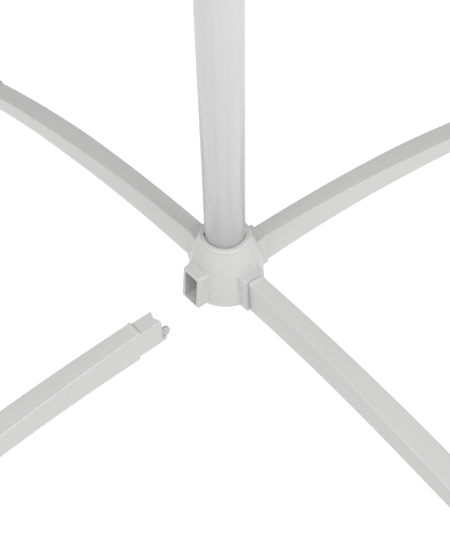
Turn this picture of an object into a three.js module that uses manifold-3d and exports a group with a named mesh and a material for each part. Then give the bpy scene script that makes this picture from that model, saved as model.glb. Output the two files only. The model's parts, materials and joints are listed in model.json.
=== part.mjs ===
// Free-standing rotary clothesline. Millimetres, +Z up, origin on the floor under the mast's axis.
// The four legs and the four line arms lie along the X and Y axes.
import * as THREE from "three";
import { mergeVertices } from "three/addons/utils/BufferGeometryUtils.js";
import Module from "manifold-3d";

const wasm = await Module();
wasm.setup();

// ---- driving dimensions ----
const GAP = 0.3; // air between pieces that touch
const HUB_Z = 86; // height of the socket axes above the floor

const HUB_BOTTOM = -18; // heights in the hub are measured from the socket axes
const HUB_LIP_TOP = 49;
const HUB_LIP_RADIUS = 24.6;
const CUP_RADIUS = 20.2; // the cup that the mast stands in
const CUP_FLOOR = 23;
const SPINDLE_RADIUS = 8;
const SPINDLE_HOLE_RADIUS = 8.5;
const SOCKET_FACE_X = 43.5; // radius of a socket's open face, at its top
const SOCKET_SLANT = 3.3; // the face's foot stands out by this much more
const SOCKET_ROOT_X = 20; // the socket's walls start inside the bell
const SOCKET_WIDTH = [23.4, 25.8]; // of the face, at its top and at its foot
const SOCKET_ROOT_WIDTH = [29.5, 27]; // inside the bell, the same way
const SOCKET_BOTTOM = -18;
const SOCKET_TOP = 22.2;
const SOCKET_CORNER = 2;
const HOLLOW_WIDTH = 17.6; // the socket's inside
const HOLLOW_BOTTOM = -15.6;
const HOLLOW_TOP = 18.4;
const MOUTH_LEAD_IN = 1.4; // the floor of the mouth drops by this much
const MOUTH_FLARE = 0.9; // and each side opens by this much
const LEAD_IN_START_X = [28, 36]; // of the floor, of the sides

const LEG_START_X = SOCKET_FACE_X + GAP;
const LEG_END_X = 500;
const LEG_CROWN_X = 40.7; // the leg's arch is level here
const LEG_CURVE = 0.000685; // 1/mm, curvature of the arch
const LEG_SAG = 0.5; // the arch's middle line runs this much under its own arc
const LEG_WIDTH = [17.6, 24.6]; // at the hub, at the foot
const LEG_HEIGHT = [39, 21];
const LEG_FLARE_X = 270; // the width is full from here on
const LEG_CORNER = 2.4;
const SLANT_LENGTH = 25; // the shoulder's slant has gone this far along a leg
const LIP_RISE = 2; // the lip on a leg's shoulder
const LIP_LENGTH = 7;
const PLUG_LENGTH = 23;
const PLUG_TAB_LENGTH = 4; // the plug's lower lip reaches this much further
const PLUG_WIDTH = [16.4, 14.2]; // at the shoulder, at the end
const PLUG_TOP = 17.4;
const PLUG_CORNER = 1.6;
const PLUG_BOTTOM = [-15.0, -12.6];
const POCKET_WIDTH = 11.4;
const POCKET_BOTTOM = -8.6;
const POCKET_TOP = 11;
const POCKET_DEPTH = 44; // from the plug's end into the leg
const NOTCH_DEPTH = 2.6; // in the top wall of the plug's end
const NOTCH_SIDES = [-3.4, -0.6];

const LATCH_ROOT_X = LEG_START_X + 12;
const LATCH_TIP_X = LEG_START_X - PLUG_LENGTH - 10;
const LATCH_THICKNESS = 2.4;
const LATCH_SIDE_Y = 1.2; // the strip stands on this side of the pocket's middle
const LATCH_HEIGHT = 9;
const LATCH_HOOK = 2.4; // how far the hook stands out sideways

const PAD_START_X = 472;
const PAD_END_X = 507;
const PAD_WALL = 3;
const PAD_CLEARANCE = 0.9;
const PAD_PIVOT = [490, 12 - HUB_Z]; // where a leg rocks in its rubber foot
const SOLE_X = [476, 506];
const SOLE_WIDTH = 27;
const SOLE_HEIGHT = 9;
const SOLE_CORNER = 5;

const PULLED_OUT = 76.8; // the front left leg is unplugged by this much
const PULLED_ASIDE = 7;
const PULLED_DROP = 11.6; // how far its inner end has sunk

const MAST_RADIUS = [19.7, 16]; // lower tube, upper tube
const MAST_WALL = 1.2;
const MAST_LOWER_TOP = 800;
const MAST_UPPER_BOTTOM = 735;
const MAST_TOP = 1500;

const CAP_PIVOT_Z = 1530;
const PIVOT_RADIUS = 34; // of the arm and stay pivots, from the mast's axis
const STAY_LENGTH = 260;
const OPEN_ANGLE = THREE.MathUtils.degToRad(75); // an open arm's angle from the vertical
const RING_Z = CAP_PIVOT_Z - 2 * STAY_LENGTH * Math.cos(OPEN_ANGLE);
const RING_RADIUS = 24;
const RING_BELOW = 26; // the ring reaches this far under its pivots
const RING_ABOVE = 14;
const EAR_END_RADIUS = 9;
const EAR_THICKNESS = 3;
const PIN_RADIUS = 3;
const PIN_HOLE_RADIUS = 3.3;

const ARM_LENGTH = 750;
const ARM_WIDTH = 14;
const ARM_HEIGHT = 18;
const ARM_WALL = 1.4;
const STAY_WIDTH = 14;
const STAY_THICKNESS = 3;

const LINE_RADIUS = 1.75;
const LINE_HOLE_RADIUS = 2.7;
const LINE_TURNS = 5;
const LINE_SPACING = 80; // from one turn to the next, along an arm
const LINE_FIRST = 330; // the first hole's distance from the arm's pivot

// ---- materials ----
const standard = (color, roughness, metalness = 0) =>
  new THREE.MeshStandardMaterial({ color, roughness, metalness });
const whitePlastic = standard(0xd4d4d3, 0.32);
const whiteLacquer = standard(0xd2d2d1, 0.28);
const greyPlastic = standard(0xb4b4b3, 0.42);
const greyRubber = standard(0x6f7172, 0.8);
const zincSteel = standard(0xb8bcc0, 0.35, 1);
const lineVinyl = standard(0xdfe3e4, 0.4);

// ---- solids ----
function outwardFaces(geometry) {
  const bare = geometry.clone();
  bare.deleteAttribute("normal");
  bare.deleteAttribute("uv");
  const merged = mergeVertices(bare, 1e-4);
  const p = merged.attributes.position;
  const triangles = merged.index.array;
  const [a, b, c] = [new THREE.Vector3(), new THREE.Vector3(), new THREE.Vector3()];
  let volume = 0;
  for (let i = 0; i < triangles.length; i += 3) {
    a.fromBufferAttribute(p, triangles[i]);
    b.fromBufferAttribute(p, triangles[i + 1]);
    c.fromBufferAttribute(p, triangles[i + 2]);
    volume += a.dot(b.cross(c));
  }
  if (volume < 0) {
    for (let i = 0; i < triangles.length; i += 3) {
      [triangles[i], triangles[i + 1]] = [triangles[i + 1], triangles[i]];
    }
  }
  return merged;
}

function solid(geometry) {
  const merged = outwardFaces(geometry);
  return new wasm.Manifold(
    new wasm.Mesh({
      numProp: 3,
      vertProperties: Float32Array.from(merged.attributes.position.array),
      triVerts: Uint32Array.from(merged.index.array),
    }),
  );
}

function geometryOf(shape) {
  const mesh = shape.getMesh();
  const position = new Float32Array(mesh.numVert * 3);
  for (let i = 0; i < mesh.numVert; i++) {
    for (let k = 0; k < 3; k++) {
      position[3 * i + k] = mesh.vertProperties[i * mesh.numProp + k];
    }
  }
  const geometry = new THREE.BufferGeometry();
  geometry.setAttribute("position", new THREE.BufferAttribute(position, 3));
  geometry.setIndex(new THREE.BufferAttribute(Uint32Array.from(mesh.triVerts), 1));
  return geometry;
}

// A box between two corners.
function box(low, high) {
  const size = high.map((v, i) => v - low[i]);
  const middle = high.map((v, i) => (v + low[i]) / 2);
  return new THREE.BoxGeometry(...size).translate(...middle);
}

// A solid of revolution about Z from [radius, height] points.
function turned(points, segments = 24) {
  const profile = points.map(([r, z]) => new THREE.Vector2(r, z));
  return new THREE.LatheGeometry(profile, segments).rotateX(Math.PI / 2);
}

function tube(outer, inner, bottom, top, segments = 24) {
  return turned(
    [
      [inner, bottom],
      [outer, bottom],
      [outer, top],
      [inner, top],
      [inner, bottom],
    ],
    segments,
  );
}

// A round bar along Y.
function barY(radius, from, to, x = 0, z = 0, segments = 14) {
  return new THREE.CylinderGeometry(radius, radius, to - from, segments).translate(x, (from + to) / 2, z);
}

// The outline of a bar with round ends, from one centre to the other.
function slotShape(from, to, radius) {
  const shape = new THREE.Shape();
  shape.absarc(from, 0, radius, Math.PI / 2, (3 * Math.PI) / 2, false);
  shape.absarc(to, 0, radius, -Math.PI / 2, Math.PI / 2, false);
  shape.closePath();
  return shape;
}

function hole(x, radius) {
  return new THREE.Path().absarc(x, 0, radius, 0, 2 * Math.PI, true);
}

// A flat shape, drawn in X and Z, given a thickness along Y.
function plate(shape, fromY, toY, curveSegments = 6) {
  const depth = toY - fromY;
  return new THREE.ExtrudeGeometry(shape, { depth, bevelEnabled: false, curveSegments })
    .rotateX(Math.PI / 2)
    .translate(0, toY, 0);
}

// Points [y, z] round a rectangle with round corners, counter-clockwise.
function roundedSection(width, low, high, radius, steps = 2) {
  const points = [];
  const corners = [
    [width / 2 - radius, high - radius, 0],
    [-width / 2 + radius, high - radius, Math.PI / 2],
    [-width / 2 + radius, low + radius, Math.PI],
    [width / 2 - radius, low + radius, (3 * Math.PI) / 2],
  ];
  for (const [y, z, start] of corners) {
    for (let i = 0; i <= steps; i++) {
      const angle = start + (i / steps) * (Math.PI / 2);
      points.push([y + radius * Math.cos(angle), z + radius * Math.sin(angle)]);
    }
  }
  return points;
}

// A closed skin over rings of equal point count, capped at both ends.
function loft(rings) {
  const count = rings[0].length;
  const position = [];
  const index = [];
  for (const ring of rings) {
    for (const point of ring) position.push(...point);
  }
  for (let r = 0; r + 1 < rings.length; r++) {
    for (let i = 0; i < count; i++) {
      const [a, b] = [r * count + i, r * count + ((i + 1) % count)];
      index.push(a, b, a + count, b, b + count, a + count);
    }
  }
  const last = (rings.length - 1) * count;
  for (let i = 1; i + 1 < count; i++) {
    index.push(0, i + 1, i);
    index.push(last, last + i, last + i + 1);
  }
  const geometry = new THREE.BufferGeometry();
  geometry.setAttribute("position", new THREE.Float32BufferAttribute(position, 3));
  geometry.setIndex(index);
  return geometry;
}

// ---- the foot: hub, legs, latches, rubber feet ----
// A leg's own frame has +X outwards from the mast's axis, +Z up, and its origin at the socket axes' height.
function hubShell() {
  const bell = turned(
    [
      [0, HUB_BOTTOM],
      [37.2, HUB_BOTTOM],
      [38.4, HUB_BOTTOM + 1.4],
      [38.1, 0],
      [36.9, 8],
      [35.4, 16],
      [33.2, 25],
      [30.6, 33],
      [27.6, 41],
      [HUB_LIP_RADIUS, 46.2],
      [23.6, 48.2],
      [22.2, HUB_LIP_TOP],
      [0, HUB_LIP_TOP],
    ],
    40,
  );
  const cup = turned(
    [
      [0, CUP_FLOOR],
      [CUP_RADIUS, CUP_FLOOR],
      [CUP_RADIUS, HUB_LIP_TOP - 1.6],
      [CUP_RADIUS + 1.2, HUB_LIP_TOP + 1],
      [0, HUB_LIP_TOP + 1],
    ],
    40,
  );
  let shape = solid(bell);
  for (let quarter = 0; quarter < 4; quarter++) {
    const socket = loft([
      socketRing(SOCKET_ROOT_X, SOCKET_ROOT_WIDTH, 0),
      socketRing(SOCKET_FACE_X, SOCKET_WIDTH, SOCKET_SLANT),
    ]);
    shape = shape.add(solid(socket.rotateZ((quarter * Math.PI) / 2)));
  }
  shape = shape.subtract(solid(cup));
  const spindleHole = tube(SPINDLE_HOLE_RADIUS, 0, HUB_BOTTOM - 5, CUP_FLOOR + 1);
  shape = shape.subtract(solid(spindleHole));
  for (let quarter = 0; quarter < 4; quarter++) {
    shape = shape.subtract(solid(socketHollow().rotateZ((quarter * Math.PI) / 2)));
  }
  return geometryOf(shape);
}

// An outline round a socket: [top, foot] widths, with its foot standing out by the slant.
function socketRing(x, [topWidth, footWidth], slant) {
  const height = SOCKET_TOP - SOCKET_BOTTOM;
  return roundedSection(topWidth, SOCKET_BOTTOM, SOCKET_TOP, SOCKET_CORNER).map(([y, z]) => {
    const share = (SOCKET_TOP - z) / height;
    return [x + slant * share, (y * THREE.MathUtils.lerp(topWidth, footWidth, share)) / topWidth, z];
  });
}

// The socket's inside: straight, then opening downwards and sideways to the mouth.
function socketHollow() {
  const [floorStart, sideStart] = LEAD_IN_START_X;
  const mouth = SOCKET_FACE_X + SOCKET_SLANT;
  const ring = (x) => {
    const drop = MOUTH_LEAD_IN * Math.max(0, (x - floorStart) / (mouth - floorStart));
    const flare = MOUTH_FLARE * Math.max(0, (x - sideStart) / (mouth - sideStart));
    const half = HOLLOW_WIDTH / 2 + flare;
    return [
      [x, half, HOLLOW_TOP],
      [x, -half, HOLLOW_TOP],
      [x, -half, HOLLOW_BOTTOM - drop],
      [x, half, HOLLOW_BOTTOM - drop],
    ];
  };
  return loft([ring(-2), ring(floorStart), ring(sideStart), ring(mouth + 1)]);
}

function legSection(x, growth = 0) {
  const spread = Math.min(1, (x - LEG_START_X) / (LEG_FLARE_X - LEG_START_X));
  const width = THREE.MathUtils.lerp(...LEG_WIDTH, Math.max(0, spread)) + 2 * growth;
  const along = (x - LEG_START_X) / (LEG_END_X - LEG_START_X);
  const thinning = 1 - (1 - along) ** 2; // most of the height is lost near the hub
  const height = THREE.MathUtils.lerp(...LEG_HEIGHT, Math.max(0, thinning)) + 2 * growth;
  const middle = -0.5 * LEG_CURVE * (x - LEG_CROWN_X) ** 2 - LEG_SAG;
  const tilt = Math.atan(-LEG_CURVE * (x - LEG_CROWN_X));
  const slant = SOCKET_SLANT * Math.max(0, 1 - (x - LEG_START_X) / SLANT_LENGTH);
  return roundedSection(width, -height / 2, height / 2, LEG_CORNER).map(([y, z]) => [
    x - z * Math.sin(tilt) + slant * (0.5 - z / height),
    y,
    middle + z * Math.cos(tilt),
  ]);
}

function legSkin(fromX, toX, stations, growth = 0) {
  const rings = [];
  for (let i = 0; i <= stations; i++) {
    rings.push(legSection(THREE.MathUtils.lerp(fromX, toX, i / stations), growth));
  }
  return loft(rings);
}

function legShape() {
  const plugRing = (x, share) =>
    roundedSection(
      THREE.MathUtils.lerp(...PLUG_WIDTH, share),
      THREE.MathUtils.lerp(...PLUG_BOTTOM, share),
      PLUG_TOP,
      PLUG_CORNER,
    ).map(([y, z]) => [x, y, z]);
  const plugEnd = LEG_START_X - PLUG_LENGTH;
  const plugRoot = LEG_START_X + SOCKET_SLANT + 2;
  const plug = loft([plugRing(plugRoot, 0), plugRing(LEG_START_X, 0), plugRing(plugEnd, 1)]);
  const lipRing = (x, rise) =>
    roundedSection(LEG_WIDTH[0] - 1, 0, LEG_HEIGHT[0] / 2 - LEG_SAG + rise, LEG_CORNER).map(([y, z]) => [x, y, z]);
  const lip = loft([
    lipRing(LEG_START_X + 0.1, LIP_RISE),
    lipRing(LEG_START_X + 2, LIP_RISE),
    lipRing(LEG_START_X + LIP_LENGTH, -0.8),
  ]);
  const tabHalf = PLUG_WIDTH[1] / 2 - 0.6;
  const tab = box(
    [plugEnd - PLUG_TAB_LENGTH, -tabHalf, PLUG_BOTTOM[1] + 0.6],
    [plugEnd + 3, tabHalf, PLUG_BOTTOM[1] + 3.4],
  );
  const pocket = box(
    [plugEnd - 6, -POCKET_WIDTH / 2, POCKET_BOTTOM],
    [plugEnd + POCKET_DEPTH, POCKET_WIDTH / 2, POCKET_TOP],
  );
  const notch = box(
    [plugEnd - 1, NOTCH_SIDES[0], POCKET_TOP - 1],
    [plugEnd + NOTCH_DEPTH, NOTCH_SIDES[1], PLUG_TOP + 1],
  );
  const shape = solid(legSkin(LEG_START_X, LEG_END_X, 16))
    .add(solid(plug))
    .add(solid(lip))
    .add(solid(tab))
    .subtract(solid(pocket))
    .subtract(solid(notch));
  return geometryOf(shape);
}

function latchShape() {
  const outline = new THREE.Shape();
  const [near, far] = [LATCH_SIDE_Y, LATCH_SIDE_Y + LATCH_THICKNESS];
  outline.moveTo(LATCH_ROOT_X, near);
  outline.lineTo(LATCH_ROOT_X, far);
  outline.lineTo(LATCH_TIP_X + 8.5, far);
  outline.lineTo(LATCH_TIP_X + 7.2, far + LATCH_HOOK);
  outline.quadraticCurveTo(LATCH_TIP_X + 2, far + LATCH_HOOK, LATCH_TIP_X, near + 0.6);
  outline.lineTo(LATCH_TIP_X + 1, near);
  outline.closePath();
  const strip = new THREE.ExtrudeGeometry(outline, {
    depth: LATCH_HEIGHT,
    bevelEnabled: false,
    curveSegments: 6,
  });
  return strip.translate(0, 0, -LATCH_HEIGHT / 2);
}

function padShape() {
  const floor = -HUB_Z;
  const sleeve = legSkin(PAD_START_X, PAD_END_X, 4, PAD_CLEARANCE + PAD_WALL);
  const sole = loft(
    [floor, floor + SOLE_HEIGHT].map((z) =>
      roundedSection(SOLE_WIDTH, ...SOLE_X, SOLE_CORNER).map(([y, x]) => [x, y, z]),
    ),
  );
  const shape = solid(sleeve)
    .add(solid(sole))
    .subtract(solid(legSkin(PAD_START_X - 6, LEG_END_X + 0.8, 4, PAD_CLEARANCE)))
    .subtract(solid(box([400, -50, floor - 30], [600, 50, floor])));
  return geometryOf(shape);
}

// ---- the mast ----
function mastPlug() {
  const flange = HUB_Z + CUP_FLOOR + GAP;
  const inside = MAST_RADIUS[0] - MAST_WALL - GAP;
  const low = HUB_Z + HUB_BOTTOM - 0.2;
  return turned([
    [2.8, low],
    [SPINDLE_RADIUS - 1, low],
    [SPINDLE_RADIUS, low + 1.5],
    [SPINDLE_RADIUS, flange],
    [MAST_RADIUS[0], flange],
    [MAST_RADIUS[0], flange + 2],
    [inside, flange + 2],
    [inside, flange + 34],
    [inside - 2, flange + 36],
    [inside - 4, flange + 36],
    [inside - 4, flange + 4],
    [2.8, flange + 4],
    [2.8, low],
  ]);
}

function mastCollar() {
  const bottom = MAST_LOWER_TOP - 32;
  const top = MAST_LOWER_TOP + 34;
  const outer = MAST_RADIUS[0] + 3.4;
  const shape = solid(
    turned([
      [MAST_RADIUS[0] + GAP, bottom],
      [outer - 1, bottom],
      [outer, bottom + 1.5],
      [outer, MAST_LOWER_TOP + 12],
      [MAST_RADIUS[1] + 3.6, top - 1.5],
      [MAST_RADIUS[1] + 2.6, top],
      [MAST_RADIUS[1] + GAP, top],
      [MAST_RADIUS[1] + GAP, MAST_LOWER_TOP + GAP],
      [MAST_RADIUS[0] + GAP, MAST_LOWER_TOP + GAP],
      [MAST_RADIUS[0] + GAP, bottom],
    ]),
  );
  const drilled = barY(2, -40, 40, 0, MAST_LOWER_TOP + 8, 12);
  return geometryOf(shape.subtract(solid(drilled)));
}

// A round-headed screw whose head stands on the side it is turned in from.
function collarScrew(side) {
  const outer = MAST_RADIUS[0] + 3.4;
  const profile = [
    [0, MAST_RADIUS[1] + GAP],
    [1.7, MAST_RADIUS[1] + GAP],
    [1.7, outer + GAP],
    [3.6, outer + GAP],
    [3.2, outer + 1.8],
    [0, outer + 2.4],
  ];
  return turned(profile, 16)
    .rotateX(side > 0 ? -Math.PI / 2 : Math.PI / 2)
    .translate(0, 0, MAST_LOWER_TOP + 8);
}

// ---- the head ----
function ears(shape, pivotZ, layers) {
  let out = shape;
  for (let quarter = 0; quarter < 4; quarter++) {
    for (const [fromY, toY] of layers) {
      const ear = plate(slotShape(RING_RADIUS - 7, PIVOT_RADIUS, EAR_END_RADIUS), fromY, toY)
        .translate(0, 0, pivotZ)
        .rotateZ((quarter * Math.PI) / 2);
      out = out.add(solid(ear));
    }
    const drilled = barY(PIN_HOLE_RADIUS, -20, 20, PIVOT_RADIUS, pivotZ).rotateZ((quarter * Math.PI) / 2);
    out = out.subtract(solid(drilled));
  }
  return out;
}

const ARM_EARS = [
  [-ARM_WIDTH / 2 - GAP - EAR_THICKNESS, -ARM_WIDTH / 2 - GAP],
  [ARM_WIDTH / 2 + GAP, ARM_WIDTH / 2 + GAP + EAR_THICKNESS],
];
const STAY_EAR = [[1.5, ARM_WIDTH / 2]];

function ringShape() {
  const bore = MAST_RADIUS[1] + 0.5;
  const collar = tube(RING_RADIUS, bore, RING_Z - RING_BELOW, RING_Z + RING_ABOVE, 28);
  const buttonHole = barY(4.4, -RING_RADIUS - 5, 0, 0, RING_Z - 16, 16).rotateZ(Math.PI / 4);
  const cleared = tube(bore, 0, RING_Z - 60, RING_Z + 60, 28);
  const shape = ears(solid(collar).subtract(solid(buttonHole)), RING_Z, ARM_EARS);
  return geometryOf(shape.subtract(solid(cleared)));
}

// The lock button rests in the ring's skirt, between two arms.
function ringButton() {
  const profile = [
    [0, MAST_RADIUS[1] + 0.8],
    [4, MAST_RADIUS[1] + 0.8],
    [4, RING_RADIUS + 3],
    [8, RING_RADIUS + 3],
    [9, RING_RADIUS + 5],
    [8, RING_RADIUS + 9],
    [0, RING_RADIUS + 10],
  ];
  return turned(profile, 16)
    .rotateX(Math.PI / 2)
    .translate(0, 0, RING_Z - 16)
    .rotateZ(Math.PI / 4);
}

function capShape() {
  const inside = MAST_RADIUS[1] - MAST_WALL - GAP;
  const body = turned(
    [
      [0, MAST_TOP - 34],
      [inside - 1.5, MAST_TOP - 34],
      [inside, MAST_TOP - 32],
      [inside, MAST_TOP + GAP],
      [RING_RADIUS - 2, MAST_TOP + GAP],
      [RING_RADIUS, MAST_TOP + 3],
      [RING_RADIUS, CAP_PIVOT_Z + 10],
      [28, CAP_PIVOT_Z + 14],
      [28, CAP_PIVOT_Z + 20],
      [26.5, CAP_PIVOT_Z + 28],
      [22, CAP_PIVOT_Z + 34],
      [15, CAP_PIVOT_Z + 37],
      [0, CAP_PIVOT_Z + 37],
    ],
    28,
  );
  return geometryOf(ears(solid(body), CAP_PIVOT_Z, STAY_EAR));
}

function headPin(fromY, toY, z) {
  const profile = [
    [0, fromY - GAP - 1.6],
    [4.6, fromY - GAP - 1.2],
    [4.6, fromY - GAP],
    [PIN_RADIUS, fromY - GAP],
    [PIN_RADIUS, toY + GAP + 1],
    [PIN_RADIUS - 0.8, toY + GAP + 1.8],
    [0, toY + GAP + 1.8],
  ];
  return turned(profile, 12).rotateX(-Math.PI / 2).translate(PIVOT_RADIUS, 0, z);
}

// An arm lies along its own +X from its pivot, with its line holes across it.
function lineHoleAt(turn, arm) {
  return LINE_FIRST + (turn + arm / 4) * LINE_SPACING;
}

function armShape(arm) {
  const outline = new THREE.Shape();
  outline.absarc(0, 0, ARM_HEIGHT / 2, Math.PI / 2, (3 * Math.PI) / 2, false);
  outline.lineTo(ARM_LENGTH, -ARM_HEIGHT / 2);
  outline.lineTo(ARM_LENGTH, ARM_HEIGHT / 2);
  outline.closePath();
  outline.holes.push(hole(0, PIN_HOLE_RADIUS));
  for (let turn = 0; turn < LINE_TURNS; turn++) {
    outline.holes.push(hole(lineHoleAt(turn, arm), LINE_HOLE_RADIUS));
  }
  const bar = plate(outline, -ARM_WIDTH / 2, ARM_WIDTH / 2, 6);
  const inside = box(
    [16, -ARM_WIDTH / 2 + ARM_WALL, -ARM_HEIGHT / 2 + ARM_WALL],
    [ARM_LENGTH + 1, ARM_WIDTH / 2 - ARM_WALL, ARM_HEIGHT / 2 - ARM_WALL],
  );
  return geometryOf(solid(bar).subtract(solid(inside)));
}

function armTipShape() {
  const plugWidth = ARM_WIDTH - 2 * (ARM_WALL + GAP);
  const plugHeight = ARM_HEIGHT - 2 * (ARM_WALL + GAP);
  const ring = (x, width, height) =>
    roundedSection(width, -height / 2, height / 2, 1.5, 2).map(([y, z]) => [x, y, z]);
  const plug = loft([ring(ARM_LENGTH - 22, plugWidth, plugHeight), ring(ARM_LENGTH + 2, plugWidth, plugHeight)]);
  const head = loft([
    ring(ARM_LENGTH + GAP, ARM_WIDTH + 1, ARM_HEIGHT + 1),
    ring(ARM_LENGTH + 4, ARM_WIDTH + 1, ARM_HEIGHT + 1),
    ring(ARM_LENGTH + 6, ARM_WIDTH - 3, ARM_HEIGHT - 3),
  ]);
  return geometryOf(solid(plug).add(solid(head)));
}

// A stay lies along its own +X from the cap's pivot, beside the arm, with a rivet head at its far end.
function stayShape() {
  const [fromY, toY] = [ARM_WIDTH / 2 + GAP, ARM_WIDTH / 2 + GAP + STAY_THICKNESS];
  const outline = slotShape(0, STAY_LENGTH, STAY_WIDTH / 2);
  outline.holes.push(hole(0, PIN_HOLE_RADIUS));
  const rivet = turned(
    [
      [0, toY - 1],
      [5, toY - 1],
      [5, toY + 0.8],
      [3, toY + 2],
      [0, toY + 2.2],
    ],
    16,
  )
    .rotateX(-Math.PI / 2)
    .translate(STAY_LENGTH, 0, 0);
  return geometryOf(solid(plate(outline, fromY, toY)).add(solid(rivet)));
}

// ---- the line ----
// A path straight from point to point, sampled at its own corners, where it turns evenly.
class CornerPath extends THREE.Curve {
  constructor(points) {
    super();
    this.points = points;
  }
  getPoint(t) {
    const at = THREE.MathUtils.clamp(t, 0, 1) * (this.points.length - 1);
    const i = Math.min(Math.floor(at), this.points.length - 2);
    return this.points[i].clone().lerp(this.points[i + 1], at - i);
  }
  getPointAt(u) {
    return this.getPoint(u);
  }
  getTangent(t) {
    const i = Math.round(t * (this.points.length - 1));
    const before = this.points[Math.max(i - 1, 0)];
    const here = this.points[i];
    const after = this.points[Math.min(i + 1, this.points.length - 1)];
    const arriving = here.clone().sub(before).normalize();
    const leaving = after.clone().sub(here).normalize();
    return arriving.add(leaving).normalize();
  }
  getTangentAt(u) {
    return this.getTangent(u);
  }
}

function onArm(arm, along, side) {
  const out = PIVOT_RADIUS + along * Math.sin(OPEN_ANGLE);
  const up = RING_Z + along * Math.cos(OPEN_ANGLE);
  return new THREE.Vector3(out, side, up).applyAxisAngle(new THREE.Vector3(0, 0, 1), (arm * Math.PI) / 2);
}

const LINE_BEND = ARM_WIDTH / 2 + 3; // the line turns this far from an arm's middle
const LINE_STOP = ARM_WIDTH / 2 + 0.6; // the line's ends, at the knots

function clothesLine() {
  const points = [];
  for (let turn = 0; turn < LINE_TURNS; turn++) {
    for (let arm = 0; arm < 4; arm++) {
      const first = turn === 0 && arm === 0;
      const last = turn === LINE_TURNS - 1 && arm === 3;
      points.push(onArm(arm, lineHoleAt(turn, arm), first ? -LINE_STOP : -LINE_BEND));
      points.push(onArm(arm, lineHoleAt(turn, arm), last ? LINE_STOP : LINE_BEND));
    }
  }
  const section = new THREE.Shape().absarc(0, 0, LINE_RADIUS, 0, 2 * Math.PI);
  return new THREE.ExtrudeGeometry(section, {
    steps: points.length - 1,
    curveSegments: 3,
    bevelEnabled: false,
    extrudePath: new CornerPath(points),
  });
}

// ---- assembly ----
const clothesline = new THREE.Group();
clothesline.name = "rotary_clothesline";

function add(name, geometry, material, parent = clothesline) {
  const piece = new THREE.Mesh(geometry, material);
  piece.name = name;
  parent.add(piece);
  return piece;
}

const LEGS = [
  ["front_right", 0],
  ["back_right", 1],
  ["back_left", 2],
  ["front_left", 3],
];
const hub = add("base_hub", hubShell(), whitePlastic);
hub.position.z = HUB_Z;
for (const [place, quarter] of LEGS) {
  const frame = new THREE.Group();
  frame.rotation.z = (quarter * Math.PI) / 2;
  frame.position.z = HUB_Z;
  clothesline.add(frame);
  const foot = new THREE.Group();
  frame.add(foot);
  add(`foot_pad_${place}`, padShape(), greyRubber, foot);
  const rocker = new THREE.Group(); // the leg with its latch, rocking in its rubber foot
  rocker.position.set(PAD_PIVOT[0], 0, PAD_PIVOT[1]);
  foot.add(rocker);
  const leg = add(`leg_${place}`, legShape(), whitePlastic, rocker);
  leg.position.set(-PAD_PIVOT[0], 0, -PAD_PIVOT[1]);
  const latch = add(`leg_latch_${place}`, latchShape(), greyPlastic, rocker);
  latch.position.copy(leg.position);
  if (place === "front_left") {
    foot.position.set(PULLED_OUT, PULLED_ASIDE, 0);
    rocker.rotation.y = -Math.atan(PULLED_DROP / (PAD_PIVOT[0] - LEG_START_X));
  }
}

add("mast_foot_plug", mastPlug(), greyPlastic);
const underHub = HUB_Z + HUB_BOTTOM - 0.4;
add("spindle_washer", tube(13, 2.9, underHub - 1.6, underHub - GAP, 24), zincSteel);
const screwProfile = [
  [0, underHub - 5],
  [4.6, underHub - 4.4],
  [5, underHub - 1.6 - GAP],
  [2.5, underHub - 1.6 - GAP],
  [2.5, HUB_Z + 4],
  [0, HUB_Z + 6],
];
add("spindle_screw", turned(screwProfile, 24), zincSteel);
const lowerBottom = HUB_Z + CUP_FLOOR + 2 * GAP + 2;
const lowerInner = MAST_RADIUS[0] - MAST_WALL;
const upperInner = MAST_RADIUS[1] - MAST_WALL;
add("mast_lower", tube(MAST_RADIUS[0], lowerInner, lowerBottom, MAST_LOWER_TOP, 40), whiteLacquer);
add("mast_upper", tube(MAST_RADIUS[1], upperInner, MAST_UPPER_BOTTOM, MAST_TOP, 28), whiteLacquer);
add("mast_collar", mastCollar(), greyPlastic);
add("collar_screw_front", collarScrew(-1), zincSteel);
add("collar_screw_back", collarScrew(1), zincSteel);

add("top_cap", capShape(), whitePlastic);
add("slide_ring", ringShape(), whitePlastic);
add("ring_button", ringButton(), greyPlastic);
const ARMS = ["east", "north", "west", "south"];
ARMS.forEach((place, arm) => {
  const frame = new THREE.Group();
  frame.rotation.z = (arm * Math.PI) / 2;
  clothesline.add(frame);
  const armOuterEar = ARM_WIDTH / 2 + GAP + EAR_THICKNESS;
  add(`arm_pin_${place}`, headPin(-armOuterEar, armOuterEar, RING_Z), zincSteel, frame);
  add(`stay_pin_${place}`, headPin(1.5, armOuterEar, CAP_PIVOT_Z), zincSteel, frame);
  const armFrame = new THREE.Group();
  armFrame.position.set(PIVOT_RADIUS, 0, RING_Z);
  armFrame.rotation.y = OPEN_ANGLE - Math.PI / 2;
  frame.add(armFrame);
  add(`arm_${place}`, armShape(arm), whiteLacquer, armFrame);
  add(`arm_tip_${place}`, armTipShape(), greyPlastic, armFrame);
  const stay = add(`stay_${place}`, stayShape(), zincSteel, frame);
  stay.position.set(PIVOT_RADIUS, 0, CAP_PIVOT_Z);
  stay.rotation.y = Math.PI / 2 - OPEN_ANGLE;
});

add("clothes_line", clothesLine(), lineVinyl);
const KNOT_RADIUS = 4.5;
const knot = new THREE.SphereGeometry(KNOT_RADIUS, 10, 7);
const knotSide = LINE_STOP + GAP + KNOT_RADIUS;
add("line_knot_inner", knot.clone(), lineVinyl).position.copy(onArm(0, lineHoleAt(0, 0), -knotSide));
const lastTurn = LINE_TURNS - 1;
add("line_knot_outer", knot.clone(), lineVinyl).position.copy(onArm(3, lineHoleAt(lastTurn, 3), knotSide));

export default clothesline;
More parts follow.
